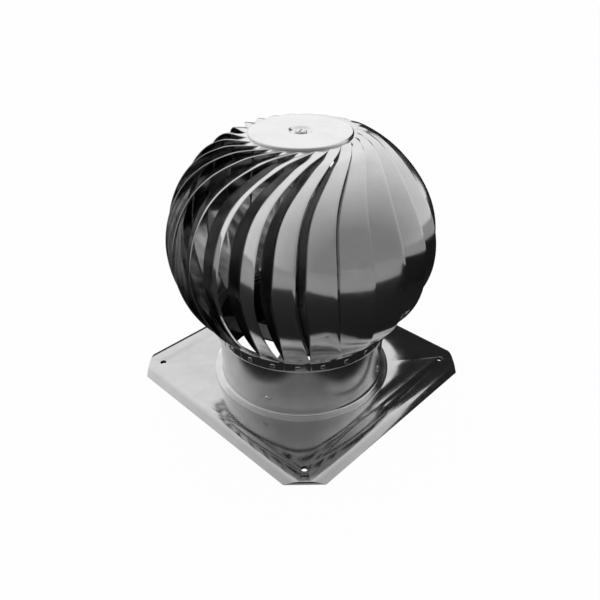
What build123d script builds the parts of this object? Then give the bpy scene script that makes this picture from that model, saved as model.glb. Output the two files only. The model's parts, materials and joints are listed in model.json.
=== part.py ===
from build123d import *
import os
from math import asin, cos, degrees, hypot, pi, radians, sin

# Roof turbine ventilator for a 150 mm round duct: a free-spinning bladed ball on a short
# neck, on a square base plate. Millimetres, +Z up, origin on the rotor's axis at the level
# that the plate's edges rest on. The plate's sides run along X and Y.

# ---------------------------------------------------------------- driving dimensions
# base plate
plate_side = 230.0          # over the turned-down edges
plate_sheet = 1.0
edge_run = 6.5              # how far in from the side the fold lies
edge_drop = 3.6             # height of the plate's top over the resting edge
corner_flat = 146.0         # from the axis to each clipped corner
corner_hole_pitch = 188.0   # between neighbouring fixing holes
corner_hole = 5.5           # hole diameter, for M5 screws

# neck
neck_outside = 150.0        # diameter
neck_sheet = 0.8
neck_top = 63.0             # height of its open end
neck_foot_width = 7.0       # of the flange that lies on the plate
neck_bend = 2.5             # inside radius between the neck and its foot
hem_height = 6.0            # inward-folded top edge

# bearing cross inside the neck
cross_width = 20.0
cross_sheet = 2.0
cross_top = 28.0
cross_tab_low = 11.0
cross_angle = 21.5          # of the first arm from X
cross_rivet_level = 18.0
cross_hole = 19.0           # clears the spindle nut

# rotor
vane_count = 24
rotor_diameter = 224.0      # over the vanes' outer edges
rotor_half_height = 101.9   # of the spheroid that the vanes follow
rotor_middle = 136.8        # level of the widest part
vane_sheet = 0.6
vane_spacing_gap = 0.2      # degrees left between neighbouring vanes
vane_inset = 12.0           # how far a vane's trailing edge lies inside its leading edge
inset_power = 0.75          # lower keeps the gap wide nearer to foot and tip
vane_sections = 40          # cross-sections that shape a vane
meridian_steps = 900        # fineness of the length measured along the meridian
vane_phase = -3.0           # degrees from X to a leading edge at the widest part
top_swirl = 46.0            # degrees that a vane turns from the widest part to its tip
top_swirl_power = 2.5
foot_swirl = 7.3            # degrees that it turns on the way down
foot_swirl_power = 1.2
foot_narrowing_power = 6    # higher keeps the drawing-in near the foot
dome_blend = 57.0           # latitude where the spheroid turns into the flat top
tip_level = 226.3           # top of the vanes' flat tips
tip_radius = 42.0           # where the flat tip starts
tip_twist = 6.0             # degrees that the flat tip leans
tip_rivet_edge = 3.0        # from the top plate's edge in to the tip rivets
tip_reach = 4.0             # of a vane's tip inwards of its rivet

# lower ring
ring_inside = 154.4         # diameter
ring_sheet = 1.2
ring_low = 55.0
ring_high = 64.6
ring_lip = 3.0              # inward lip over the neck's open end
ring_rivet_level = 59.5

# cap, top plate and hub
cap_margin = 1.6            # that the cap reaches past the top plate
cap_sheet = 0.8
cap_height = 2.0
cap_dish = 20.0             # diameter of the dimple for the centre screw
cap_rise = 0.5
top_plate_diameter = 78.0
top_plate_sheet = 1.5
hub_flange_diameter = 44.0
hub_flange_sheet = 4.0
hub_boss_diameter = 22.0
hub_boss_length = 15.0
hub_rivet_circle = 32.0
hub_pin = 3.0
hub_pin_depth = 9.0         # below the underside of the hub's flange

# spindle and bearing housing
spindle_journal = 10.0      # diameter in the bearings
spindle_body = 13.0         # diameter above the upper bearing
spindle_thread = 8.0
spindle_tail = 19.0         # level of its lower end
spindle_chamfer = 0.5
housing_outside = 33.0
housing_flange_diameter = 50.0
housing_flange_sheet = 3.5
housing_screw_circle = 42.0
housing_height = 70.0
bearing_outside = 26.0
bearing_width = 8.0
bearing_shoulder = 1.8      # radial height of the housing's inner shoulder
bearing_inset = 4.0         # from each end of the housing to the bearing
ball_diameter = 4.76
ball_count = 7
race_sheet = 2.4
circlip_sheet = 1.2
circlip_reach = 2.6
circlip_groove = 0.8
circlip_gap = 6.0           # between its two ends
seal_sheet = 1.6
seal_depth = 5.0            # that it reaches down over the housing

# fasteners
rivet_hole = 2.6
rivet_head = 4.4
rivet_head_height = 0.8
cross_rivet_hole = 3.4
cross_rivet_head = 6.4
cross_rivet_head_height = 1.4
screw_thread = 4.0
screw_head = 7.0
screw_head_height = 2.6
nut_height = 3.2
screw_end = 1.0             # of a screw beyond its nut
cap_screw_thread = 5.0
cap_screw_head = 9.5
cap_screw_head_height = 1.8
cap_screw_length = 12.0
cap_screw_slot = 1.2
cap_screw_run_out = 0.8      # of the tapped hole below the screw
spindle_nut_height = 5.0
spindle_nut_across = 13.0
screw_nut_across = 7.0

# clearances
close_fit = 0.02            # faces that are pressed or screwed together
seat_clearance = 0.06       # under and over the vanes' sprung tips, and under rivets on curved walls
ball_clearance = 0.06
cage_clearance = 0.12
hole_clearance = 0.1        # a rivet in its hole
spindle_clearance = 0.6     # a turning piece past a fixed one


# ---------------------------------------------------------------- helpers
parts = {}


def tube(outside, inside, low, high):
    """A straight ring between two levels; outside and inside are diameters."""
    body = Cylinder(outside / 2, high - low, align=(Align.CENTER, Align.CENTER, Align.MIN))
    bore = Cylinder(inside / 2, 2 * (high - low), align=(Align.CENTER, Align.CENTER, Align.CENTER))
    return Pos(0, 0, low) * (body - bore)


def turned(points):
    """Revolve a closed outline of (radius, level) pairs about the axis."""
    outline = Polyline(*[(r, 0, z) for r, z in points], close=True)
    return revolve(make_face(outline), Axis.Z)


def around(count, piece, first=0.0):
    """Copies of a piece, equally spaced about the axis."""
    return [Rot(0, 0, first + 360 / count * k) * piece for k in range(count)]


def at(radius, angle, level):
    return Vector(radius * cos(radians(angle)), radius * sin(radians(angle)), level)


def rivet(hole, head, head_height, grip):
    """A rivet on Z: its outer head stands on z = 0 and its shank fills the grip below."""
    shank = Cylinder(hole / 2 - hole_clearance, grip, align=(Align.CENTER, Align.CENTER, Align.MAX))
    face = Cone(head / 2, head / 3, head_height, align=(Align.CENTER, Align.CENTER, Align.MIN))
    tail = Cone(head / 3, head / 2.4, head_height, align=(Align.CENTER, Align.CENTER, Align.MAX))
    return shank + face + Pos(0, 0, -grip) * tail


def hex_nut(across, thread, height):
    """A hexagon nut on Z that stands on z = 0."""
    prism = extrude(RegularPolygon(across / 2, 6, major_radius=False), height)
    return prism - Cylinder(thread / 2 + close_fit, 4 * height)


def hole_at(diameter, x, y, low, high):
    drill = Cylinder(diameter / 2, high - low, align=(Align.CENTER, Align.CENTER, Align.MIN))
    return Pos(x, y, low) * drill


# ---------------------------------------------------------------- base
def base_plate():
    """A sheet with its four edges folded down at a slant and its corners cut off."""
    def frustum(level):
        low = Pos(0, 0, level) * Rectangle(plate_side, plate_side)
        top_side = plate_side - 2 * edge_run
        high = Pos(0, 0, level + edge_drop) * Rectangle(top_side, top_side)
        return loft([low, high])

    sheet = frustum(0) - frustum(-plate_sheet)
    keep = Rot(0, 0, 45) * Box(2 * corner_flat, 2 * corner_flat, 4 * edge_drop)
    sheet = sheet & keep
    sheet -= hole_at(neck_outside - 2 * neck_sheet, 0, 0, -edge_drop, 2 * edge_drop)
    for x in (-corner_hole_pitch / 2, corner_hole_pitch / 2):
        for y in (-corner_hole_pitch / 2, corner_hole_pitch / 2):
            sheet -= hole_at(corner_hole, x, y, -edge_drop, 2 * edge_drop)
    return sheet


def cross_rivet_place(k):
    """The outer face of the neck at the end of one arm."""
    turn = Rot(0, 0, cross_angle + 90 * k)
    return turn * Pos(neck_outside / 2, 0, cross_rivet_level) * Rot(0, 90, 0)


def neck():
    """The duct collar: a foot turned out on the plate, and a hemmed open top."""
    outer = neck_outside / 2
    inner = outer - neck_sheet
    floor = edge_drop
    foot = outer + neck_foot_width
    bend_out = neck_bend
    bend_in = neck_bend + neck_sheet
    turn = sin(radians(45))
    with BuildSketch(Plane.XZ) as profile:
        with BuildLine():
            Polyline(
                (inner, floor + bend_in),
                (inner, neck_top),
                (outer, neck_top),
                (outer, floor + neck_sheet + bend_out),
            )
            centre = (outer + bend_out, floor + neck_sheet + bend_out)
            middle = (centre[0] - bend_out * turn, centre[1] - bend_out * turn)
            ThreePointArc((outer, centre[1]), middle, (centre[0], floor + neck_sheet))
            Polyline((centre[0], floor + neck_sheet), (foot, floor + neck_sheet), (foot, floor),
                     (centre[0], floor))
            middle = (centre[0] - bend_in * turn, centre[1] - bend_in * turn)
            ThreePointArc((centre[0], floor), middle, (inner, floor + bend_in))
        make_face()
    wall = revolve(profile.sketch, Axis.Z)
    wall += tube(2 * inner + neck_sheet / 2, 2 * inner - 2 * neck_sheet, neck_top - hem_height, neck_top)
    for k in range(4):
        drill = Cylinder(cross_rivet_hole / 2, 6 * neck_sheet)
        wall -= cross_rivet_place(k) * drill
    return wall


def bearing_cross():
    """A four-armed spider whose turned-down tabs are riveted to the neck."""
    reach = neck_outside / 2 - neck_sheet - close_fit
    arms = Box(3 * reach, cross_width, cross_top)
    arms += Rot(0, 0, 90) * arms
    arms = Pos(0, 0, cross_top / 2) * Rot(0, 0, cross_angle) * arms
    disc = tube(2 * reach, cross_hole, cross_top - cross_sheet, cross_top)
    tabs = tube(2 * reach, 2 * (reach - cross_sheet), cross_tab_low, cross_top)
    cross = (disc + tabs) & arms
    for k in range(4):
        cross -= cross_rivet_place(k) * Cylinder(cross_rivet_hole / 2, 8 * cross_sheet)
    for drill in screw_holes():
        cross -= drill
    return cross


def screw_holes():
    drill = hole_at(screw_thread + 2 * close_fit, housing_screw_circle / 2, 0,
                    cross_top - 2 * cross_sheet, cross_top + 2 * housing_flange_sheet)
    return around(4, drill, cross_angle)


def cross_rivets():
    grip = neck_sheet + close_fit + cross_sheet + seat_clearance
    one = rivet(cross_rivet_hole, cross_rivet_head, cross_rivet_head_height, grip)
    return [cross_rivet_place(k) * one for k in range(4)]


# ---------------------------------------------------------------- bearing housing
housing_low = cross_top
housing_top = housing_low + housing_height
lower_bearing_low = housing_low + bearing_inset
upper_bearing_low = housing_top - bearing_inset - bearing_width


def bearing_housing():
    """A flanged tube with a bearing seat and a circlip groove at each end."""
    seat = bearing_outside / 2 + close_fit
    shoulder = seat - bearing_shoulder
    wall = housing_outside / 2
    lower_top = lower_bearing_low + bearing_width
    body = turned([
        (shoulder, lower_top), (shoulder, upper_bearing_low), (seat, upper_bearing_low),
        (seat, housing_top), (wall, housing_top), (wall, housing_low + housing_flange_sheet),
        (housing_flange_diameter / 2, housing_low + housing_flange_sheet),
        (housing_flange_diameter / 2, housing_low), (seat, housing_low), (seat, lower_top),
    ])
    groove = 2 * (seat + circlip_groove)
    for low in circlip_levels():
        body -= tube(groove, 2 * shoulder, low - close_fit, low + circlip_sheet + close_fit)
    for drill in screw_holes():
        body -= drill
    return body


def circlip_levels():
    """The levels of the two circlips that hold the outer races in."""
    return (lower_bearing_low - circlip_sheet - close_fit,
            upper_bearing_low + bearing_width + close_fit)


def circlip(low):
    seat = bearing_outside / 2
    ring = tube(2 * (seat + circlip_groove - close_fit), 2 * (seat - circlip_reach), low,
                low + circlip_sheet)
    opening = Pos(seat, 0, low) * Box(seat, circlip_gap, 4 * circlip_sheet)
    return ring - opening


def shaft_seal():
    """A thin cover that snaps over the housing's top and keeps the rain out."""
    wall = housing_outside / 2
    step = tube(2 * wall + 2 * seal_sheet, 2 * wall + 2 * close_fit, housing_top - seal_depth,
                housing_top)
    lid = tube(2 * wall + 2 * seal_sheet, spindle_body + 2 * spindle_clearance, housing_top,
               housing_top + seal_sheet)
    return step + lid


def bearing(low):
    """Outer race, inner race, cage and balls of a deep-groove ball bearing."""
    pitch = (bearing_outside / 2 + spindle_journal / 2) / 2
    centre = low + bearing_width / 2
    high = low + bearing_width
    track = Pos(0, 0, centre) * Torus(pitch, ball_diameter / 2 + ball_clearance)
    outer = tube(bearing_outside, bearing_outside - 2 * race_sheet, low, high) - track
    inner = tube(spindle_journal + 2 * race_sheet, spindle_journal + 2 * close_fit, low, high) - track
    ball_places = around(ball_count, Pos(pitch, 0, centre) * Sphere(ball_diameter / 2))
    pocket = Pos(pitch, 0, centre) * Rot(0, 90, 0) * Cylinder(ball_diameter / 2 + cage_clearance, race_sheet)
    cage_half = bearing_width / 2 - 2 * ball_clearance - race_sheet / 4
    cage = tube(2 * pitch + race_sheet / 2, 2 * pitch - race_sheet / 2, centre - cage_half,
                centre + cage_half)
    for hollow in around(ball_count, pocket):
        cage -= hollow
    return outer, inner, cage, ball_places


def housing_screws():
    grip = cross_sheet + housing_flange_sheet + nut_height + screw_end
    place = Pos(housing_screw_circle / 2, 0, housing_low + housing_flange_sheet)
    shank = Cylinder(screw_thread / 2, grip, align=(Align.CENTER, Align.CENTER, Align.MAX))
    head = Cylinder(screw_head / 2, screw_head_height, align=(Align.CENTER, Align.CENTER, Align.MIN))
    socket = Pos(0, 0, screw_head_height) * extrude(RegularPolygon(screw_thread / 3, 6),
                                                   -screw_head_height / 2)
    return around(4, place * (shank + (head - socket)), cross_angle)


def housing_nuts():
    level = cross_top - cross_sheet - nut_height
    nut = Pos(housing_screw_circle / 2, 0, level) * hex_nut(screw_nut_across, screw_thread, nut_height)
    return around(4, nut, cross_angle)


# ---------------------------------------------------------------- rotor: vanes
equator = rotor_diameter / 2
ring_outside = ring_inside + 2 * ring_sheet
vane_foot = ring_outside / 2 + vane_sheet + close_fit
vane_width = 360 / vane_count - vane_spacing_gap
foot_latitude = -degrees(asin((rotor_middle - ring_high) / rotor_half_height))
tip_under = tip_level - vane_sheet
tip_rivet_radius = top_plate_diameter / 2 - tip_rivet_edge
tip_end = tip_rivet_radius - tip_reach
cap_diameter = top_plate_diameter + 2 * cap_margin


def spheroid(latitude):
    return equator * cos(radians(latitude)), rotor_middle + rotor_half_height * sin(radians(latitude))


def meridian(station):
    """Radius and level of the leading edge: 0 at the foot, 1 at the blend, 2 to 3 on the flat tip."""
    if station >= 2:
        return tip_radius - (station - 2) * (tip_radius - tip_end), tip_level
    start_radius, start_level = spheroid(dome_blend)
    if station <= 1:
        latitude = foot_latitude + station * (dome_blend - foot_latitude)
        radius, level = spheroid(latitude)
        narrowing = vane_foot - spheroid(foot_latitude)[0]
        return radius + narrowing * (1 - station) ** foot_narrowing_power, level
    slope = rotor_half_height / equator / (sin(radians(dome_blend)) / cos(radians(dome_blend)))
    knee = start_radius - (tip_level - start_level) / slope
    t = station - 1
    radius = start_radius * (1 - t) ** 2 + knee * 2 * t * (1 - t) + tip_radius * t ** 2
    level = start_level * (1 - t) ** 2 + tip_level * (2 * t * (1 - t) + t ** 2)
    return radius, level


def trace_meridian():
    """The length along the meridian from the foot to each of many close stations."""
    lengths = [0.0]
    for i in range(meridian_steps):
        here, there = meridian(3.0 * i / meridian_steps), meridian(3.0 * (i + 1) / meridian_steps)
        lengths.append(lengths[-1] + hypot(there[0] - here[0], there[1] - here[1]))
    return lengths


meridian_lengths = trace_meridian()


def way_up(station):
    return meridian_lengths[round(station / 3.0 * meridian_steps)]


def swirl(radius, level):
    """Angle of the leading edge, from its angle at the widest part."""
    if radius < tip_radius:
        return top_swirl + tip_twist * (tip_radius - radius) / (tip_radius - tip_end)
    if level > rotor_middle:
        share = max(0.0, (equator - radius) / (equator - tip_radius))
        return top_swirl * share ** top_swirl_power
    share = (rotor_middle - level) / (rotor_middle - ring_high)
    return foot_swirl * share ** foot_swirl_power


def section(station):
    """The vane's thin cross-section across one station of the meridian."""
    step = 0.01
    radius, level = meridian(station)
    before = meridian(max(0.0, station - step))
    after = meridian(min(3.0, station + step))
    length = hypot(after[0] - before[0], after[1] - before[1])
    normal_r = (after[1] - before[1]) / length
    normal_z = (before[0] - after[0]) / length
    share = way_up(station) / way_up(2.0)
    inset = vane_inset * sin(pi * share) ** inset_power if 0 < share < 1 else 0.0
    angle = swirl(radius, level)
    lead = at(radius, angle, level)
    trail = at(radius - inset * normal_r, angle - vane_width, level - inset * normal_z)
    chord = (lead - trail).normalized()
    centre = angle - vane_width / 2
    along = Vector(-normal_z * cos(radians(centre)), -normal_z * sin(radians(centre)), normal_r)
    if station == 0:
        along = Vector(0, 0, 1)
    if station >= 2:
        along = Vector(-cos(radians(centre)), -sin(radians(centre)), 0)
    out = chord.cross(along).normalized()
    bulge = radius * (1 - cos(radians(vane_width / 2))) * (1.0 if station == 0 else normal_r)
    middle = (lead + trail) / 2
    if station >= 2:
        down = out * -vane_sheet
        sides = [Line(trail, lead), Line(lead, lead + down), Line(lead + down, trail + down),
                 Line(trail + down, trail)]
    else:
        crown = middle + out * bulge
        bow_radius = ((lead - middle).length ** 2 + bulge ** 2) / (2 * bulge)
        bow_centre = crown - out * bow_radius
        inner = [p + (bow_centre - p).normalized() * vane_sheet for p in (lead, crown, trail)]
        sides = [ThreePointArc(trail, crown, lead), Line(lead, inner[0]),
                 ThreePointArc(*inner), Line(inner[2], trail)]
    return Face(Wire(sides))


def even_stations():
    """Stations at equal steps along the meridian, so that the sheet runs through them smoothly."""
    fine = [3.0 * i / meridian_steps for i in range(meridian_steps + 1)]
    whole = way_up(3.0)
    return [min(fine, key=lambda t: abs(way_up(t) - whole * k / (vane_sections - 1)))
            for k in range(vane_sections)]


def vane():
    """One blade: a riveted foot tab, a bowed and twisted body and a flat riveted tip."""
    blade = loft([section(s) for s in even_stations()])
    foot_angle = swirl(vane_foot, ring_high)
    tab = tube(2 * vane_foot, 2 * (vane_foot - vane_sheet), ring_low, ring_high)
    wedge = make_face(Polyline((0, 0, 0), at(2 * vane_foot, foot_angle - vane_width, 0),
                               at(2 * vane_foot, foot_angle, 0), close=True))
    tab = tab & extrude(wedge, ring_high, dir=(0, 0, 1))
    blade = blade + tab
    blade -= foot_rivet_place() * Cylinder(rivet_hole / 2, 4 * ring_sheet)
    blade -= tip_rivet_place() * Cylinder(rivet_hole / 2, 4 * vane_sheet)
    return Rot(0, 0, vane_phase) * blade


def foot_rivet_place():
    angle = swirl(vane_foot, ring_high) - vane_width / 2
    return Rot(0, 0, angle) * Pos(vane_foot, 0, ring_rivet_level) * Rot(0, 90, 0)


def tip_rivet_place():
    angle = swirl(tip_rivet_radius, tip_level) - vane_width / 2
    return Rot(0, 0, angle) * Pos(tip_rivet_radius, 0, tip_level + seat_clearance)


def vane_rivets(place, grip):
    one = place * rivet(rivet_hole, rivet_head, rivet_head_height, grip)
    return around(vane_count, one, vane_phase)


# ---------------------------------------------------------------- rotor: ring, cap and hub
def lower_ring():
    """The rolled ring that the vanes' feet are riveted to, with a lip over the neck."""
    inner, outer = ring_inside / 2, ring_outside / 2
    ring = turned([
        (inner, ring_low), (outer, ring_low), (outer, ring_high),
        (inner - ring_lip, ring_high), (inner - ring_lip, ring_high - ring_sheet),
        (inner, ring_high - ring_sheet),
    ])
    drill = foot_rivet_place() * Cylinder(rivet_hole / 2, 6 * ring_sheet)
    for hollow in around(vane_count, drill, vane_phase):
        ring -= hollow
    return ring


top_plate_high = tip_under - seat_clearance
top_plate_low = top_plate_high - top_plate_sheet


def top_plate():
    """The disc under the vanes' tips, which carries the whole ball."""
    plate = tube(top_plate_diameter, cap_screw_thread + 2 * close_fit, top_plate_low, top_plate_high)
    for hollow in around(vane_count, tip_rivet_place() * Cylinder(rivet_hole / 2, 8 * top_plate_sheet),
                         vane_phase):
        plate -= hollow
    for hollow in hub_rivet_holes():
        plate -= hollow
    return plate


def hub_rivet_holes():
    drill = hole_at(cross_rivet_hole, hub_rivet_circle / 2, 0, top_plate_low - 2 * hub_flange_sheet,
                    top_plate_high + top_plate_sheet)
    return around(4, drill)


def cap():
    """A shallow pressed cover: a short skirt on the vanes' tips and a dimple at the centre."""
    rim = cap_diameter / 2
    top = tip_level + cap_height
    crown = top + cap_rise
    dish = cap_dish / 2
    floor = top_plate_high + cap_sheet
    slope = top - floor
    return turned([
        (cap_screw_thread / 2 + close_fit, floor), (dish - slope, floor), (dish, crown),
        (rim - cap_height, top), (rim, top - cap_height / 2), (rim, tip_level + seat_clearance),
        (rim - cap_sheet, tip_level + seat_clearance), (rim - cap_sheet, top - cap_height / 2 - cap_sheet / 4),
        (rim - cap_height, top - cap_sheet), (dish, crown - cap_sheet),
        (dish - slope + cap_sheet / 2, floor - cap_sheet), (cap_screw_thread / 2 + close_fit, floor - cap_sheet),
    ])


def hub():
    """The flanged boss that is riveted under the top plate and pinned to the spindle."""
    low = top_plate_low - hub_flange_sheet
    bore = spindle_body + 2 * close_fit
    boss = tube(hub_flange_diameter, bore, low, top_plate_low)
    boss += tube(hub_boss_diameter, bore, low - hub_boss_length, low)
    for hollow in hub_rivet_holes():
        boss -= hollow
    return boss - hub_pin_place() * Cylinder(hub_pin / 2 + close_fit, 2 * hub_boss_diameter)


def hub_pin_place():
    return Pos(0, 0, top_plate_low - hub_flange_sheet - hub_pin_depth) * Rot(0, 90, 0)


def hub_rivets():
    grip = top_plate_sheet + hub_flange_sheet
    one = rivet(cross_rivet_hole, cross_rivet_head, rivet_head_height, grip)
    return around(4, Pos(hub_rivet_circle / 2, 0, top_plate_high) * one)


def spindle():
    """A stepped shaft: thread for the nut, journals for the bearings and a thicker upper part."""
    thread, journal, body = spindle_thread / 2, spindle_journal / 2, spindle_body / 2
    shoulder = upper_bearing_low + bearing_width
    shaft = turned([
        (0, spindle_tail), (thread - spindle_chamfer, spindle_tail), (thread, spindle_tail + spindle_chamfer),
        (thread, lower_bearing_low), (journal, lower_bearing_low), (journal, shoulder),
        (body, shoulder), (body, top_plate_low), (0, top_plate_low),
    ])
    tapped_low = top_plate_high + cap_sheet - cap_screw_length - cap_screw_run_out
    shaft -= hole_at(cap_screw_thread + 2 * close_fit, 0, 0, tapped_low, tip_level)
    return shaft - hub_pin_place() * Cylinder(hub_pin / 2 + close_fit, 2 * hub_boss_diameter)


def spacer():
    """The sleeve that sets the inner races apart."""
    low, high = lower_bearing_low + bearing_width, upper_bearing_low
    return tube(spindle_journal + race_sheet, spindle_journal + 2 * close_fit, low, high)


def spindle_washer():
    return tube(spindle_journal + race_sheet, spindle_thread + 2 * close_fit,
                lower_bearing_low - cross_sheet, lower_bearing_low)


def cap_screw():
    seat = top_plate_high + cap_sheet
    thread = Cylinder(cap_screw_thread / 2, cap_screw_length, align=(Align.CENTER, Align.CENTER, Align.MAX))
    head = Cylinder(cap_screw_head / 2, cap_screw_head_height,
                    align=(Align.CENTER, Align.CENTER, Align.MIN))
    head = chamfer(head.edges().group_by(Axis.Z)[-1], cap_screw_head_height / 3)
    slot = Pos(0, 0, cap_screw_head_height) * Box(cap_screw_head, cap_screw_slot, cap_screw_head_height)
    return Pos(0, 0, seat) * (thread + (head - slot))


# ---------------------------------------------------------------- assembly
lower_outer, lower_inner, lower_cage, lower_balls = bearing(lower_bearing_low)
upper_outer, upper_inner, upper_cage, upper_balls = bearing(upper_bearing_low)
lower_clip_level, upper_clip_level = circlip_levels()
nut_level = lower_bearing_low - cross_sheet - spindle_nut_height

parts["base_plate"] = base_plate()
parts["neck"] = neck()
parts["bearing_cross"] = bearing_cross()
parts["cross_rivets"] = cross_rivets()
parts["bearing_housing"] = bearing_housing()
parts["housing_screws"] = housing_screws()
parts["housing_nuts"] = housing_nuts()
parts["lower_bearing_outer_race"] = lower_outer
parts["upper_bearing_outer_race"] = upper_outer
parts["lower_circlip"] = circlip(lower_clip_level)
parts["upper_circlip"] = circlip(upper_clip_level)
parts["shaft_seal"] = shaft_seal()
parts["lower_bearing_cage"] = lower_cage
parts["lower_bearing_balls"] = lower_balls
parts["upper_bearing_cage"] = upper_cage
parts["upper_bearing_balls"] = upper_balls
parts["lower_bearing_inner_race"] = lower_inner
parts["upper_bearing_inner_race"] = upper_inner
parts["bearing_spacer"] = spacer()
parts["spindle"] = spindle()
parts["spindle_washer"] = spindle_washer()
parts["spindle_nut"] = Pos(0, 0, nut_level) * hex_nut(spindle_nut_across, spindle_thread,
                                                     spindle_nut_height)
parts["hub"] = hub()
parts["hub_pin"] = hub_pin_place() * Cylinder(hub_pin / 2, hub_boss_diameter)
parts["hub_rivets"] = hub_rivets()
parts["top_plate"] = top_plate()
parts["lower_ring"] = lower_ring()
parts["foot_rivets"] = vane_rivets(foot_rivet_place(), vane_sheet + close_fit + ring_sheet + seat_clearance)
parts["tip_rivets"] = vane_rivets(tip_rivet_place(), vane_sheet + 2 * seat_clearance + top_plate_sheet)
parts["cap"] = cap()
parts["cap_screw"] = cap_screw()
for number, blade in enumerate(around(vane_count, vane())):
    parts[f"vane_{number + 1:02d}"] = blade

os.makedirs("parts", exist_ok=True)
for name, shape in parts.items():
    if isinstance(shape, list):
        shape = Compound(children=[Part(solid.wrapped) if not isinstance(solid, Part) else solid
                                   for solid in shape])
    shape.label = name
    export_step(shape, f"parts/{name}.step")
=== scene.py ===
# %% [markdown]
# # A roof turbine ventilator in polished stainless steel
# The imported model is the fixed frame: every piece below is made in metres, in its place,
# and rides on one of the frame's bodies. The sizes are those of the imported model.

# %% Load the frame
import json
from math import asin, cos, degrees, hypot, pi, radians, sin

import bpy
from mathutils import Matrix, Vector


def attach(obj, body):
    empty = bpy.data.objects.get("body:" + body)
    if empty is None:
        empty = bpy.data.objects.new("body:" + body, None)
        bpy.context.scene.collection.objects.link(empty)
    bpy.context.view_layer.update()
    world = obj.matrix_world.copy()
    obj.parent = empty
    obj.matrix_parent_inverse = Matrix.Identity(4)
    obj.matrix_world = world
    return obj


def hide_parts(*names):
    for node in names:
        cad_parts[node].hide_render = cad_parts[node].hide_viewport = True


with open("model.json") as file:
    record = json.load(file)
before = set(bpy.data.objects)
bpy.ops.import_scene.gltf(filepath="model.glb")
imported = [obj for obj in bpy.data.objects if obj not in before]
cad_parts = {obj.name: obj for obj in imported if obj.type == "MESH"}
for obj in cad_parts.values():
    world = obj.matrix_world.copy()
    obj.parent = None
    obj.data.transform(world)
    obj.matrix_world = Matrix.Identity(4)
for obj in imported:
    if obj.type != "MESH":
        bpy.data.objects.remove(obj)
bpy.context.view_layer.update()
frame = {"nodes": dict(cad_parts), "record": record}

# %% [markdown]
# ## Camera
# A lens is a focal length over a sensor width. The view looks down on the plate's corner,
# so the camera stands on the diagonal of the plate, about half a metre away.

# %% Camera
camera_data = bpy.data.cameras.new("camera")
camera_data.sensor_width = 36.0
camera_data.lens = 36.41
camera = bpy.data.objects.new("camera", camera_data)
bpy.context.scene.collection.objects.link(camera)
bpy.context.scene.camera = camera

plate_turn = Matrix.Rotation(radians(-45.861), 3, "Z")
yaw, pitch, roll = radians(-0.18), radians(33.512), radians(0.266)
forward = Vector((sin(yaw) * cos(pitch), cos(yaw) * cos(pitch), -sin(pitch)))
side = Vector((cos(yaw), -sin(yaw), 0.0))
down = forward.cross(side)
right = side * cos(roll) + down * sin(roll)
up = side * sin(roll) - down * cos(roll)
axes = [plate_turn @ v for v in (right, up, -forward)]
place = plate_turn @ Vector((0.00019, -0.45557, 0.37520))
rows = [[axes[0][i], axes[1][i], axes[2][i], place[i]] for i in range(3)]
camera.matrix_world = Matrix(rows + [[0, 0, 0, 1]])
print("camera at", [round(v, 4) for v in camera.matrix_world.translation])

# %% [markdown]
# ## Helpers for modelling
# An operator acts on whatever is selected, so each step starts from an empty selection.
# Faces and edges are then picked in code by where they lie.

# %% Selecting and finishing
MM = 0.001


def nothing_selected():
    if bpy.context.object and bpy.context.object.mode != "OBJECT":
        bpy.ops.object.mode_set(mode="OBJECT")
    bpy.ops.object.select_all(action="DESELECT")


def named(name):
    piece = bpy.context.object
    piece.name = piece.data.name = name
    return piece


def pick(piece, kind, test):
    """Selects the edges or faces of a piece whose centre passes the test."""
    bpy.ops.object.mode_set(mode="OBJECT")
    mesh = piece.data
    for group in (mesh.vertices, mesh.edges, mesh.polygons):
        group.foreach_set("select", [False] * len(group))
    points = [v.co for v in mesh.vertices]
    if kind == "EDGE":
        for e in mesh.edges:
            e.select = bool(test((points[e.vertices[0]] + points[e.vertices[1]]) / 2))
    else:
        for f in mesh.polygons:
            f.select = bool(test(f.center))
    bpy.ops.object.mode_set(mode="EDIT")
    bpy.ops.mesh.select_mode(type=kind)


def modified(piece, kind, **settings):
    """Adds a modifier with these settings and applies it."""
    nothing_selected()
    bpy.context.view_layer.objects.active = piece
    piece.select_set(True)
    step = piece.modifiers.new(kind.lower(), kind)
    for key, value in settings.items():
        setattr(step, key, value)
    bpy.ops.object.modifier_apply(modifier=step.name)


def finished(piece, body, nodes, angle=35.0):
    """Smooth where the sheet curves, sharp at its corners, and riding on its body."""
    nothing_selected()
    bpy.context.view_layer.objects.active = piece
    piece.select_set(True)
    bpy.ops.object.transform_apply(location=True, rotation=True, scale=True)
    bpy.ops.object.shade_smooth_by_angle(angle=radians(angle))
    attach(piece, body)
    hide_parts(*nodes)
    print(piece.name, len(piece.data.polygons), "faces")
    return piece


def copied(piece, name, turn):
    """A copy with its own mesh, turned about the rotor's axis."""
    other = piece.copy()
    other.data = piece.data.copy()
    other.name = other.data.name = name
    bpy.context.scene.collection.objects.link(other)
    other.data.transform(Matrix.Rotation(turn, 4, "Z"))
    return other


def looking(piece, way):
    """Turns a sheet's faces over if on the whole they look the wrong way."""
    if sum(way(f) for f in piece.data.polygons) < 0:
        piece.data.flip_normals()


def outwards(f):
    return f.normal.x * f.center.x + f.normal.y * f.center.y


def upwards(f):
    return f.normal.z * f.area


def joined(pieces, name):
    nothing_selected()
    for piece in pieces:
        piece.select_set(True)
    bpy.context.view_layer.objects.active = pieces[0]
    bpy.ops.object.join()
    return named(name)
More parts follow.
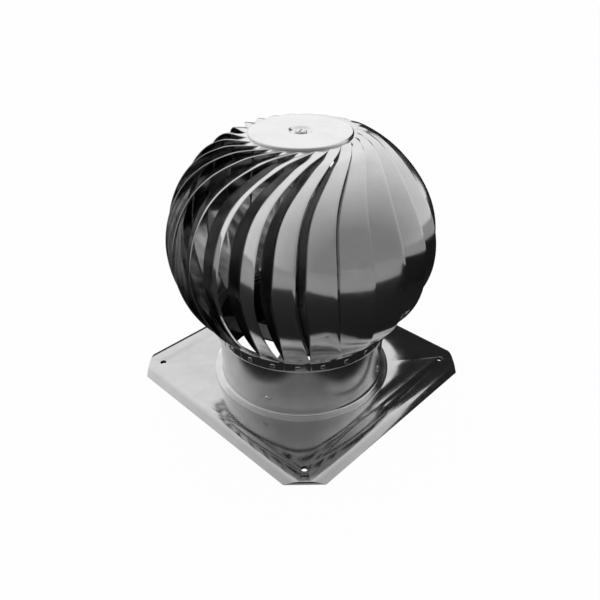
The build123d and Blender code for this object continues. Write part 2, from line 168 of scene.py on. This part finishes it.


# %% [markdown]
# ## Sheet that is turned on a lathe
# The neck, the lower ring and the cap are round sheet parts. By hand they are drawn as one
# ring of points that is extruded and scaled step by step along the profile; the Solidify
# modifier then gives the sheet its thickness, and on the neck a small bevel rounds its cut edges.

# %% Rings drawn out along a profile
def round_sheet(name, profile, segments=128):
    """An open sheet through (radius, level) pairs in millimetres, drawn out ring by ring."""
    nothing_selected()
    radius, level = profile[0]
    bpy.ops.mesh.primitive_circle_add(vertices=segments, radius=radius * MM, fill_type="NOTHING",
                                      location=(0, 0, level * MM))
    piece = named(name)
    bpy.ops.object.transform_apply(location=True, rotation=True, scale=True)
    bpy.ops.object.mode_set(mode="EDIT")
    bpy.ops.mesh.select_mode(type="VERT")
    bpy.ops.mesh.select_all(action="SELECT")
    for here, there in zip(profile, profile[1:]):
        step = (0, 0, (there[1] - here[1]) * MM)
        bpy.ops.mesh.extrude_region_move(TRANSFORM_OT_translate={"value": step})
        grow = there[0] / here[0]
        bpy.ops.transform.resize(value=(grow, grow, 1), center_override=(0, 0, there[1] * MM))
    bpy.ops.mesh.select_all(action="SELECT")
    bpy.ops.mesh.normals_make_consistent(inside=False)
    bpy.ops.object.mode_set(mode="OBJECT")
    return piece


def arc(centre_radius, centre_level, radius, start, end, steps):
    """Points of a bend in a profile, from one angle in degrees to another."""
    return [(centre_radius + radius * cos(radians(start + (end - start) * i / steps)),
             centre_level + radius * sin(radians(start + (end - start) * i / steps)))
            for i in range(steps + 1)]


# %% [markdown]
# ## Base plate
# The real plate is one square sheet: the corners are clipped, the edges folded down at a
# slant, the duct hole and four screw holes punched. A plane's border is extruded and spread
# for the folds, its corners are cut off, its bends are bevelled, and cutters punch the holes.

# %% Base plate
def base_plate():
    side, run, drop, sheet = 230.0, 6.5, 3.6, 1.0
    clipped = 146.0
    flat_side = side - 2 * run
    nothing_selected()
    bpy.ops.mesh.primitive_plane_add(size=flat_side * MM, location=(0, 0, drop * MM))
    plate = named("base_plate_sheet")
    bpy.ops.object.transform_apply(location=True, rotation=True, scale=True)
    pick(plate, "EDGE", lambda c: True)
    bpy.ops.mesh.extrude_region_move(TRANSFORM_OT_translate={"value": (0, 0, -drop * MM)})
    spread = side / flat_side
    bpy.ops.transform.resize(value=(spread, spread, 1), center_override=(0, 0, 0))
    for k in range(4):
        away = Vector((cos(radians(45 + 90 * k)), sin(radians(45 + 90 * k)), 0))
        bpy.ops.mesh.select_all(action="SELECT")
        bpy.ops.mesh.bisect(plane_co=away * clipped * MM, plane_no=away, clear_outer=True)
    pick(plate, "EDGE", lambda c: abs(c.z - drop * MM) < 1e-6
         and max(abs(c.x), abs(c.y)) > (flat_side / 2 - 0.01) * MM)
    bpy.ops.mesh.bevel(offset=2.2 * MM, segments=4, affect="EDGES")
    bpy.ops.mesh.select_all(action="SELECT")
    bpy.ops.mesh.normals_make_consistent(inside=False)
    bpy.ops.object.mode_set(mode="OBJECT")
    looking(plate, upwards)
    modified(plate, "SOLIDIFY", thickness=sheet * MM, offset=-1.0, use_even_offset=True)
    holes = [(0.0, 0.0, 74.2)] + [(94.0 * x, 94.0 * y, 2.75) for x in (-1, 1) for y in (-1, 1)]
    for x, y, radius in holes:
        nothing_selected()
        bpy.ops.mesh.primitive_cylinder_add(vertices=128 if radius > 10 else 32, radius=radius * MM,
                                            depth=20 * MM, location=(x * MM, y * MM, 0))
        punch = bpy.context.object
        modified(plate, "BOOLEAN", operation="DIFFERENCE", object=punch, solver="EXACT")
        bpy.data.objects.remove(punch)
    modified(plate, "BEVEL", width=0.18 * MM, segments=2, limit_method="ANGLE", angle_limit=radians(40))
    return finished(plate, "base", ["base_plate"], 30)


plate = base_plate()

# %% [markdown]
# ## Neck
# The duct collar stands on the plate on a turned-out foot. Its top edge is folded inwards
# into a hem. The foot's bend and its rim each catch a fine ring of light, so both are kept.

# %% Neck
def neck():
    outer, sheet, floor, top = 75.0, 0.8, 3.6, 63.0
    bend = 2.5
    centre = (outer + bend, floor + sheet + bend)
    profile = [(82.0, floor + sheet), (80.6, floor + sheet)]
    profile += arc(centre[0], centre[1], bend, 270, 180, 6)
    profile += [(outer, 14.0), (outer, 26.0), (outer, 40.0), (outer, 52.0)]
    profile += arc(outer - 0.6, top - 0.6, 0.6, 0, 90, 4)
    piece = round_sheet("neck_sheet", profile)
    looking(piece, outwards)
    modified(piece, "SOLIDIFY", thickness=sheet * MM, offset=-1.0, use_even_offset=True)
    hem = round_sheet("neck_hem", [(74.15, 62.9), (73.7, 62.7), (73.5, 62.2), (73.45, 57.1)])
    looking(hem, outwards)
    modified(hem, "SOLIDIFY", thickness=0.5 * MM, offset=1.0)
    piece = joined([piece, hem], "neck_collar")
    modified(piece, "BEVEL", width=0.14 * MM, segments=2, limit_method="ANGLE", angle_limit=radians(50))
    return finished(piece, "base", ["neck"], 40)


collar = neck()

# %% [markdown]
# ## The vane's shape
# A vane follows a meridian of the ball and turns about the axis on its way up. Its leading
# edge lies on the ball and its trailing edge lies inside it, which leaves the gap that the
# wind drives. The same few formulas as in the model's source give its rows of points.

# %% Meridian, swirl and rows
vane_count, vane_phase, vane_sheet = 24, -3.0, 0.6
equator, half_height, middle_level = 112.0, 101.9, 136.8
foot_radius, foot_low, foot_high = 79.02, 55.0, 64.6
tip_level, tip_start, tip_end = 226.3, 42.0, 32.0
vane_width = 360.0 / vane_count - 0.2
dome_blend = 57.0
top_swirl, tip_swirl, foot_swirl = 46.0, 6.0, 7.3
vane_inset = 12.0
foot_latitude = degrees(asin((foot_high - middle_level) / half_height))


def meridian(station):
    """Radius and level of the vane's outer edge: foot at 0, dome at 1, cap at 2, tip at 3."""
    if station >= 2:
        return tip_start - (station - 2) * (tip_start - tip_end), tip_level
    blend_radius = equator * cos(radians(dome_blend))
    blend_level = middle_level + half_height * sin(radians(dome_blend))
    if station <= 1:
        latitude = foot_latitude + station * (dome_blend - foot_latitude)
        narrowing = foot_radius - equator * cos(radians(foot_latitude))
        return (equator * cos(radians(latitude)) + narrowing * (1 - station) ** 6,
                middle_level + half_height * sin(radians(latitude)))
    slope = half_height / equator / (sin(radians(dome_blend)) / cos(radians(dome_blend)))
    knee = blend_radius - (tip_level - blend_level) / slope
    t = station - 1
    return (blend_radius * (1 - t) ** 2 + knee * 2 * t * (1 - t) + tip_start * t ** 2,
            blend_level * (1 - t) ** 2 + tip_level * (2 * t * (1 - t) + t ** 2))


def swirl(radius, level):
    """How far the vane has turned about the axis here, in degrees."""
    if radius < tip_start:
        return top_swirl + tip_swirl * (tip_start - radius) / (tip_start - tip_end)
    if level > middle_level:
        return top_swirl * max(0.0, (equator - radius) / (equator - tip_start)) ** 2.5
    return foot_swirl * ((middle_level - level) / (middle_level - foot_high)) ** 1.2


# %% Rows at even steps up the vane
fineness = 900
climb = [0.0]
for i in range(fineness):
    a, b = meridian(3 * i / fineness), meridian(3 * (i + 1) / fineness)
    climb.append(climb[-1] + hypot(b[0] - a[0], b[1] - a[1]))


def way_up(station):
    return climb[round(station / 3 * fineness)]


def on_ball(radius, angle, level):
    return Vector((radius * cos(radians(angle)), radius * sin(radians(angle)), level))


def vane_row(station, across):
    """Points from the trailing to the leading edge, bowed outwards between them."""
    radius, level = meridian(station)
    before, after = meridian(max(0.0, station - 0.01)), meridian(min(3.0, station + 0.01))
    length = hypot(after[0] - before[0], after[1] - before[1])
    out_r, out_z = (after[1] - before[1]) / length, (before[0] - after[0]) / length
    share = way_up(station) / way_up(2.0)
    inset = vane_inset * sin(pi * share) ** 0.75 if 0 < share < 1 else 0.0
    angle = swirl(radius, level)
    lead = on_ball(radius, angle, level)
    trail = on_ball(radius - inset * out_r, angle - vane_width, level - inset * out_z)
    centre = radians(angle - vane_width / 2)
    along = Vector((-out_z * cos(centre), -out_z * sin(centre), out_r))
    if station == 0:
        along = Vector((0, 0, 1))
    out = (lead - trail).cross(along).normalized()
    bulge = radius * (1 - cos(radians(vane_width / 2))) * (1.0 if station == 0 else max(0.0, out_r))
    return [trail + (lead - trail) * t + out * bulge * 4 * t * (1 - t) for t in across]


# %% [markdown]
# ## Vanes
# One vane is a grid whose rows are laid on the shape above, because no single operator
# twists, bows and leans a sheet at once. Solidify gives it its 0.6 mm and a bevel softens
# the cut edges so that they catch a line of light. The other 23 are turned copies.

# %% One vane, then its copies
def one_vane():
    columns, rows_up = 12, 64
    across = [i / columns for i in range(columns + 1)]
    whole = way_up(3.0)
    stations = []
    for k in range(rows_up + 1):
        stations.append(min((3 * i / fineness for i in range(fineness + 1)),
                            key=lambda t: abs(way_up(t) - whole * k / rows_up)))
    foot_angle = swirl(foot_radius, foot_high)
    rows = [[on_ball(foot_radius, foot_angle - vane_width * (1 - t), level) for t in across]
            for level in (foot_low, 57.4, 59.8, 62.2, 63.8)]
    rows += [vane_row(s, across) for s in stations]
    nothing_selected()
    bpy.ops.mesh.primitive_grid_add(x_subdivisions=columns, y_subdivisions=len(rows) - 1, size=0.2)
    vane = named("vane_blade_01")
    for v, point in zip(sorted(vane.data.vertices, key=lambda v: (round(v.co.y, 5), v.co.x)),
                        [p for row in rows for p in row]):
        v.co = point * MM
    vane.data.update()
    looking(vane, lambda f: f.normal.dot(f.center - Vector((0, 0, 0.13))))
    modified(vane, "SOLIDIFY", thickness=vane_sheet * MM, offset=-1.0, use_even_offset=True)
    modified(vane, "BEVEL", width=0.16 * MM, segments=2, limit_method="ANGLE", angle_limit=radians(50))
    vane.data.transform(Matrix.Rotation(radians(vane_phase), 4, "Z"))
    return vane


first_vane = one_vane()
vanes = [first_vane]
for k in range(1, vane_count):
    vanes.append(copied(first_vane, f"vane_blade_{k + 1:02d}", radians(360 / vane_count * k)))
for k, vane in enumerate(vanes):
    finished(vane, "rotor", [f"vane_{k + 1:02d}"], 40)

# %% [markdown]
# ## Lower ring
# The vanes' feet are riveted round a rolled ring that turns just outside the neck's top.
# A lip on it reaches inwards over the neck, so rain can't run in.

# %% Lower ring
def lower_ring():
    profile = [(78.4, 55.0), (78.4, 58.0), (78.4, 61.0)]
    profile += arc(77.2, 63.4, 1.2, 0, 90, 5)
    profile += [(74.2, 64.6)]
    ring = round_sheet("lower_ring_sheet", profile)
    looking(ring, outwards)
    modified(ring, "SOLIDIFY", thickness=1.2 * MM, offset=-1.0, use_even_offset=True)
    return finished(ring, "rotor", ["lower_ring"], 40)


ring = lower_ring()

# %% [markdown]
# ## Rivets
# A blind rivet's head is a low dome with a small dimple where its stem broke off. A sphere
# is cut to a cap by bisecting, flattened, dimpled by lowering its top faces, and given a stem.

# %% Rivet heads
def rivet_heads(name, count, first, radius, level, head, height, node, body, stem_radius, stem):
    """Domes that point outwards round a wall, each on a plain stem."""
    nothing_selected()
    bpy.ops.mesh.primitive_uv_sphere_add(segments=20, ring_count=12, radius=head / 2 * MM)
    dome = named(name)
    bpy.ops.object.mode_set(mode="EDIT")
    bpy.ops.mesh.select_all(action="SELECT")
    bpy.ops.mesh.bisect(plane_co=(0, 0, 0), plane_no=(0, 0, -1), use_fill=True, clear_outer=True)
    bpy.ops.mesh.select_all(action="SELECT")
    bpy.ops.transform.resize(value=(1, 1, height / (head / 2)), center_override=(0, 0, 0))
    pick(dome, "FACE", lambda c: c.z > 0.9 * height * MM)
    bpy.ops.transform.translate(value=(0, 0, -0.22 * height * MM))
    pick(dome, "FACE", lambda c: c.z < 1e-6)
    bpy.ops.mesh.inset(thickness=(head / 2 - stem_radius) * MM)
    bpy.ops.mesh.extrude_region_move(TRANSFORM_OT_translate={"value": (0, 0, -stem * MM)})
    bpy.ops.mesh.select_all(action="SELECT")
    bpy.ops.mesh.normals_make_consistent(inside=False)
    bpy.ops.object.mode_set(mode="OBJECT")
    outward = Matrix.Rotation(radians(90), 4, "Y")
    dome.data.transform(Matrix.Translation((radius * MM, 0, level * MM)) @ outward)
    dome.data.transform(Matrix.Rotation(radians(first), 4, "Z"))
    copies = [copied(dome, f"{name}_{k}", radians(360 / count * k)) for k in range(1, count)]
    return finished(joined([dome] + copies, name), body, [node], 35)


foot_rivet_angle = swirl(foot_radius, foot_high) - vane_width / 2 + vane_phase
foot_heads = rivet_heads("foot_rivet_heads", count=vane_count, first=foot_rivet_angle, radius=79.1,
                         level=59.5, head=4.4, height=0.8, node="foot_rivets", body="rotor",
                         stem_radius=1.2, stem=1.9)
cross_heads = rivet_heads("cross_rivet_heads", count=4, first=21.5, radius=75.0, level=18.0, head=6.4,
                          height=1.4, node="cross_rivets", body="base", stem_radius=1.6, stem=2.9)

# %% [markdown]
# ## Cap and centre screw
# The cap is a shallow pressing: a short skirt stands on the vanes' tips, the rim is rounded
# and the middle has a dimple with a slotted screw in it.

# %% Cap
def cap():
    profile = [(40.55, 226.4), (40.55, 227.0)]
    profile += arc(39.35, 227.15, 1.2, 0, 84, 6)
    profile += [(37.0, 228.38), (30.0, 228.5), (20.0, 228.66), (12.6, 228.75)]
    profile += [(10.9, 228.7), (9.9, 228.4), (8.6, 227.5), (7.6, 226.9), (6.4, 226.6), (2.6, 226.5)]
    cover = round_sheet("cap_cover", profile, 96)
    looking(cover, upwards)
    modified(cover, "SOLIDIFY", thickness=0.5 * MM, offset=-1.0, use_even_offset=True)
    return finished(cover, "rotor", ["cap"], 40)


cover = cap()

# %% Centre screw
def centre_screw():
    nothing_selected()
    bpy.ops.mesh.primitive_cylinder_add(vertices=48, radius=4.75 * MM, depth=1.75 * MM,
                                        location=(0, 0, 227.36 * MM))
    head = named("centre_screw")
    bpy.ops.object.transform_apply(location=True, rotation=True, scale=True)
    pick(head, "EDGE", lambda c: c.z > 228.1 * MM and hypot(c.x, c.y) > 4.5 * MM)
    bpy.ops.mesh.bevel(offset=0.7 * MM, segments=4, affect="EDGES")
    bpy.ops.object.mode_set(mode="OBJECT")
    nothing_selected()
    bpy.ops.mesh.primitive_cube_add(size=1, location=(0, 0, 228.2 * MM),
                                    scale=(12.0 * MM, 1.3 * MM, 1.8 * MM))
    slot_cutter = bpy.context.object
    bpy.ops.object.transform_apply(location=True, rotation=True, scale=True)
    slot_cutter.data.transform(Matrix.Rotation(radians(25), 4, "Z"))
    modified(head, "BOOLEAN", operation="DIFFERENCE", object=slot_cutter, solver="EXACT")
    bpy.data.objects.remove(slot_cutter)
    modified(head, "BEVEL", width=0.08 * MM, segments=2, limit_method="ANGLE", angle_limit=radians(50))
    return finished(head, "rotor", ["cap_screw"], 40)


screw = centre_screw()

# %% [markdown]
# ## Shared surface effects
# Polished sheet isn't a perfect mirror: it has fine scratches, a slight ripple from rolling,
# and a hazy film in places. Each effect is a node group that puts out a mask or a normal,
# built once and placed in each metal with that metal's own values.

# %% Node group helpers
def new_group(name, inputs, outputs):
    group = bpy.data.node_groups.new(name, "ShaderNodeTree")
    for label, kind, value in inputs:
        socket = group.interface.new_socket(label, in_out="INPUT", socket_type=kind)
        if value is not None:
            socket.default_value = value
    for label, kind in outputs:
        group.interface.new_socket(label, in_out="OUTPUT", socket_type=kind)
    return group, group.nodes.new("NodeGroupInput"), group.nodes.new("NodeGroupOutput")


def ramp(nodes, low, high):
    """A colour ramp from black at one value to white at another."""
    node = nodes.new("ShaderNodeValToRGB")
    node.color_ramp.elements[0].position = low
    node.color_ramp.elements[1].position = high
    return node


def new_material(name):
    material = bpy.data.materials.new(name)
    material.use_nodes = True
    nodes = material.node_tree.nodes
    return material, nodes, material.node_tree.links, nodes["Principled BSDF"]


def colour_mix(nodes, links, mask, second, first=None):
    """A mix of two colours by a mask; the first can be plugged in later."""
    mix = nodes.new("ShaderNodeMix")
    mix.data_type = "RGBA"
    if first is not None:
        mix.inputs["A"].default_value = (*first, 1.0)
    mix.inputs["B"].default_value = (*second, 1.0)
    links.new(mask, mix.inputs["Factor"])
    return mix


def roughened(nodes, links, shader, mask, low, high):
    """Runs the shader's roughness between two values by a mask."""
    rough = nodes.new("ShaderNodeMapRange")
    rough.inputs["To Min"].default_value = low
    rough.inputs["To Max"].default_value = high
    links.new(mask, rough.inputs["Value"])
    links.new(rough.outputs["Result"], shader.inputs["Roughness"])


# %% Ripple, haze, scratches and edge wear
def sheet_finish_group():
    group, inside, outside = new_group(
        "sheet_finish",
        [("Ripple Scale", "NodeSocketFloat", 18.0), ("Haze Scale", "NodeSocketFloat", 55.0),
         ("Scratch Scale", "NodeSocketFloat", 420.0)],
        [("Ripple", "NodeSocketFloat"), ("Haze", "NodeSocketFloat"), ("Scratches", "NodeSocketFloat"),
         ("Edges", "NodeSocketFloat")])
    nodes, links = group.nodes, group.links
    place = nodes.new("ShaderNodeTexCoord")
    ripple = nodes.new("ShaderNodeTexNoise")
    ripple.inputs["Detail"].default_value = 1.5
    links.new(place.outputs["Object"], ripple.inputs["Vector"])
    links.new(inside.outputs["Ripple Scale"], ripple.inputs["Scale"])
    links.new(ripple.outputs["Fac"], outside.inputs["Ripple"])
    haze = nodes.new("ShaderNodeTexNoise")
    haze.inputs["Detail"].default_value = 6.0
    haze.inputs["Roughness"].default_value = 0.62
    links.new(place.outputs["Object"], haze.inputs["Vector"])
    links.new(inside.outputs["Haze Scale"], haze.inputs["Scale"])
    haze_ramp = ramp(nodes, 0.38, 0.72)
    links.new(haze.outputs["Fac"], haze_ramp.inputs["Fac"])
    links.new(haze_ramp.outputs["Color"], outside.inputs["Haze"])
    stretch = nodes.new("ShaderNodeMapping")
    stretch.inputs["Scale"].default_value = (1.0, 1.0, 0.06)
    links.new(place.outputs["Object"], stretch.inputs["Vector"])
    scratches = nodes.new("ShaderNodeTexNoise")
    scratches.inputs["Detail"].default_value = 3.0
    links.new(stretch.outputs["Vector"], scratches.inputs["Vector"])
    links.new(inside.outputs["Scratch Scale"], scratches.inputs["Scale"])
    links.new(scratches.outputs["Fac"], outside.inputs["Scratches"])
    shape = nodes.new("ShaderNodeNewGeometry")
    edge_ramp = ramp(nodes, 0.52, 0.62)
    links.new(shape.outputs["Pointiness"], edge_ramp.inputs["Fac"])
    links.new(edge_ramp.outputs["Color"], outside.inputs["Edges"])
    return group


sheet_finish = sheet_finish_group()
print("group", sheet_finish.name, [s.name for s in sheet_finish.interface.items_tree])

# %% [markdown]
# ## Metals
# A metal's colour is its reflection. Polished stainless reflects about two thirds of the
# light with very little blur; zinc plating is satin; bearing steel is ground bright. The
# haze mask raises roughness a little, edge wear brightens the cut edges.

# %% Metal materials
def metal(name, bright, dull, smooth, hazy, ripple_scale, ripple_depth, scratch_depth, edge):
    material, nodes, links, shader = new_material(name)
    shader.inputs["Metallic"].default_value = 1.0
    effects = nodes.new("ShaderNodeGroup")
    effects.node_tree = sheet_finish
    effects.inputs["Ripple Scale"].default_value = ripple_scale
    tone = colour_mix(nodes, links, effects.outputs["Haze"], dull, bright)
    worn = colour_mix(nodes, links, effects.outputs["Edges"], edge)
    links.new(tone.outputs["Result"], worn.inputs["A"])
    links.new(worn.outputs["Result"], shader.inputs["Base Color"])
    roughened(nodes, links, shader, effects.outputs["Haze"], smooth, hazy)
    ripple = nodes.new("ShaderNodeBump")
    ripple.inputs["Strength"].default_value = 1.0
    ripple.inputs["Distance"].default_value = ripple_depth
    links.new(effects.outputs["Ripple"], ripple.inputs["Height"])
    scratch = nodes.new("ShaderNodeBump")
    scratch.inputs["Strength"].default_value = 0.2
    scratch.inputs["Distance"].default_value = scratch_depth
    links.new(effects.outputs["Scratches"], scratch.inputs["Height"])
    links.new(ripple.outputs["Normal"], scratch.inputs["Normal"])
    links.new(scratch.outputs["Normal"], shader.inputs["Normal"])
    return material


vane_metal = metal("polished_vane_sheet", bright=(0.73, 0.73, 0.735), dull=(0.67, 0.67, 0.675),
                   smooth=0.09, hazy=0.15, ripple_scale=14, ripple_depth=0.00012,
                   scratch_depth=0.000004, edge=(0.82, 0.82, 0.82))
plate_metal = metal("polished_plate_sheet", bright=(0.58, 0.58, 0.585), dull=(0.51, 0.51, 0.515),
                    smooth=0.12, hazy=0.19, ripple_scale=9, ripple_depth=0.00018,
                    scratch_depth=0.000004, edge=(0.85, 0.85, 0.85))
collar_metal = metal("polished_collar_sheet", bright=(0.7, 0.7, 0.705), dull=(0.62, 0.62, 0.625),
                     smooth=0.16, hazy=0.26, ripple_scale=14, ripple_depth=0.00015,
                     scratch_depth=0.000006, edge=(0.82, 0.82, 0.82))
cap_metal = metal("polished_cap_sheet", bright=(0.8, 0.8, 0.8), dull=(0.76, 0.76, 0.76),
                  smooth=0.18, hazy=0.28, ripple_scale=20, ripple_depth=0.0001,
                  scratch_depth=0.000006, edge=(0.88, 0.88, 0.88))
rivet_metal = metal("rivet_steel", bright=(0.66, 0.66, 0.665), dull=(0.56, 0.56, 0.56),
                    smooth=0.15, hazy=0.32, ripple_scale=90, ripple_depth=0.00005,
                    scratch_depth=0.00001, edge=(0.8, 0.8, 0.8))
zinc = metal("zinc_plating", bright=(0.5, 0.51, 0.52), dull=(0.4, 0.41, 0.42),
             smooth=0.32, hazy=0.5, ripple_scale=60, ripple_depth=0.0001,
             scratch_depth=0.00003, edge=(0.62, 0.62, 0.62))
bearing_steel = metal("bearing_steel_ground", bright=(0.68, 0.68, 0.68), dull=(0.6, 0.6, 0.6),
                      smooth=0.12, hazy=0.24, ripple_scale=80, ripple_depth=0.00005,
                      scratch_depth=0.00001, edge=(0.78, 0.78, 0.78))

# %% [markdown]
# ## Nylon
# The seal and the ball cages are moulded black nylon: matte, with a fine grain.

# %% Nylon material
def black_nylon():
    material, nodes, links, shader = new_material("black_nylon_moulded")
    place = nodes.new("ShaderNodeTexCoord")
    grain = nodes.new("ShaderNodeTexNoise")
    grain.inputs["Scale"].default_value = 1400.0
    grain.inputs["Detail"].default_value = 4.0
    links.new(place.outputs["Object"], grain.inputs["Vector"])
    tone = colour_mix(nodes, links, grain.outputs["Fac"], (0.045, 0.045, 0.046), (0.022, 0.022, 0.023))
    links.new(tone.outputs["Result"], shader.inputs["Base Color"])
    roughened(nodes, links, shader, grain.outputs["Fac"], 0.5, 0.72)
    bump = nodes.new("ShaderNodeBump")
    bump.inputs["Distance"].default_value = 0.00002
    links.new(grain.outputs["Fac"], bump.inputs["Height"])
    links.new(bump.outputs["Normal"], shader.inputs["Normal"])
    return material


nylon = black_nylon()


# %% Each piece gets its finish
def coat(piece, material):
    piece.data.materials.clear()
    piece.data.materials.append(material)


for vane in vanes:
    coat(vane, vane_metal)
for piece, material in ((plate, plate_metal), (collar, collar_metal), (ring, collar_metal),
                        (cover, cap_metal), (foot_heads, rivet_metal), (cross_heads, rivet_metal),
                        (screw, rivet_metal)):
    coat(piece, material)
by_slot = {"polished_stainless": rivet_metal, "zinc_plated_steel": zinc, "bearing_steel": bearing_steel,
           "black_nylon": nylon}
slots = {s["node"]: s["material_slot"] for s in frame["record"]["subparts"]}
for name, node in frame["nodes"].items():
    coat(node, by_slot[slots[name]])
print("materials", sorted(m.name for m in bpy.data.materials if m.users))

# %% [markdown]
# ## Studio
# A mirror shows the room around it, so the room is most of the look. It is bright behind the
# object and dimmer at the camera's side. Black cards on the table and beside it give the
# metal its dark parts. The camera doesn't see the cards, and reflections don't see the
# lamps or the white backdrop, so the metal looks darker here than in an even white room.

# %% Floor
nothing_selected()
bpy.ops.mesh.primitive_plane_add(size=14.0, location=(0, 0, -0.0002))
floor = named("studio_floor")


def floor_material():
    material, nodes, links, shader = new_material("pale_floor")
    shader.inputs["Base Color"].default_value = (0.92, 0.92, 0.92, 1)
    shader.inputs["Roughness"].default_value = 0.9
    glow = nodes.new("ShaderNodeEmission")
    glow.inputs["Strength"].default_value = 1.0
    ray = nodes.new("ShaderNodeLightPath")
    share = nodes.new("ShaderNodeMath")
    share.operation = "MULTIPLY"
    share.inputs[1].default_value = 0.97
    links.new(ray.outputs["Is Camera Ray"], share.inputs[0])
    mix = nodes.new("ShaderNodeMixShader")
    links.new(share.outputs["Value"], mix.inputs["Fac"])
    links.new(shader.outputs["BSDF"], mix.inputs[1])
    links.new(glow.outputs["Emission"], mix.inputs[2])
    links.new(mix.outputs["Shader"], nodes["Material Output"].inputs["Surface"])
    return material


floor.data.materials.append(floor_material())

# %% Grey and black cards, seen only in the reflections
def card_paint(name, tone):
    paint, _, _, shader = new_material(name)
    shader.inputs["Base Color"].default_value = (tone, tone, tone, 1)
    shader.inputs["Roughness"].default_value = 0.8
    return paint


black, grey = card_paint("black_card", 0.008), card_paint("grey_card", 0.42)


def studio_card(name, paint, width, height, where, upright_turn=None):
    """A card lying on the table, or standing and turned, in the camera's own directions."""
    nothing_selected()
    bpy.ops.mesh.primitive_plane_add(size=1)
    card = named(name)
    card.data.transform(Matrix.Diagonal((width, height, 1, 1)))
    if upright_turn is not None:
        upright = Matrix.Rotation(radians(90), 4, "X")
        card.data.transform(Matrix.Rotation(radians(upright_turn), 4, "Z") @ upright)
    card.data.transform(plate_turn.to_4x4() @ Matrix.Translation(where))
    card.data.materials.append(paint)
    card.visible_camera = False
    card.visible_diffuse = False
    card.visible_shadow = False
    return card


studio_card("room_card", grey, 14.0, 14.0, (0, 0, -0.00015))
studio_card("table_card", black, 0.95, 0.95, (0, 0, -0.0001))
studio_card("back_card", black, 0.62, 0.52, (0.42, 0.32, 0.26), 0)
studio_card("side_card", black, 0.60, 0.12, (0.26, 0.0, 0.06), 90)

# %% Room light
world = bpy.data.worlds.new("studio_room")
bpy.context.scene.world = world
world.use_nodes = True
room, wires = world.node_tree.nodes, world.node_tree.links
direction = room.new("ShaderNodeTexCoord")
turned = room.new("ShaderNodeMapping")
turned.inputs["Rotation"].default_value = (0, 0, radians(45.861))
wires.new(direction.outputs["Generated"], turned.inputs["Vector"])
split = room.new("ShaderNodeSeparateXYZ")
wires.new(turned.outputs["Vector"], split.inputs["Vector"])

depth = room.new("ShaderNodeMapRange")
depth.inputs["From Min"].default_value = -0.8
depth.inputs["From Max"].default_value = 0.7
depth.inputs["To Min"].default_value = 0.26
depth.inputs["To Max"].default_value = 1.05
wires.new(split.outputs["Y"], depth.inputs["Value"])

background = room["Background"]
wires.new(depth.outputs["Result"], background.inputs["Strength"])
background.inputs["Color"].default_value = (1, 1, 1, 1)
white = room.new("ShaderNodeBackground")
white.inputs["Color"].default_value = (1, 1, 1, 1)
ray = room.new("ShaderNodeLightPath")
mixed = room.new("ShaderNodeMixShader")
wires.new(ray.outputs["Is Camera Ray"], mixed.inputs["Fac"])
wires.new(background.outputs["Background"], mixed.inputs[1])
wires.new(white.outputs["Background"], mixed.inputs[2])
wires.new(mixed.outputs["Shader"], room["World Output"].inputs["Surface"])


# %% Lamps
def soft_lamp(name, where, size, power):
    data = bpy.data.lights.new(name, "AREA")
    data.shape = "RECTANGLE"
    data.size, data.size_y = size
    data.energy = power
    lamp = bpy.data.objects.new(name, data)
    bpy.context.scene.collection.objects.link(lamp)
    lamp.visible_glossy = False
    lamp.location = plate_turn @ Vector(where)
    lamp.rotation_mode = "QUATERNION"
    aim = plate_turn @ (Vector((0, 0, 0.1)) - Vector(where))
    lamp.rotation_quaternion = aim.to_track_quat("-Z", "Y")
    return lamp


soft_lamp("left_softbox", (-1.5, -0.5, 0.9), (0.9, 1.1), 2.2)
soft_lamp("top_softbox", (0.1, 0.5, 1.7), (1.2, 1.2), 2.5)
bpy.context.scene.view_settings.view_transform = "Standard"
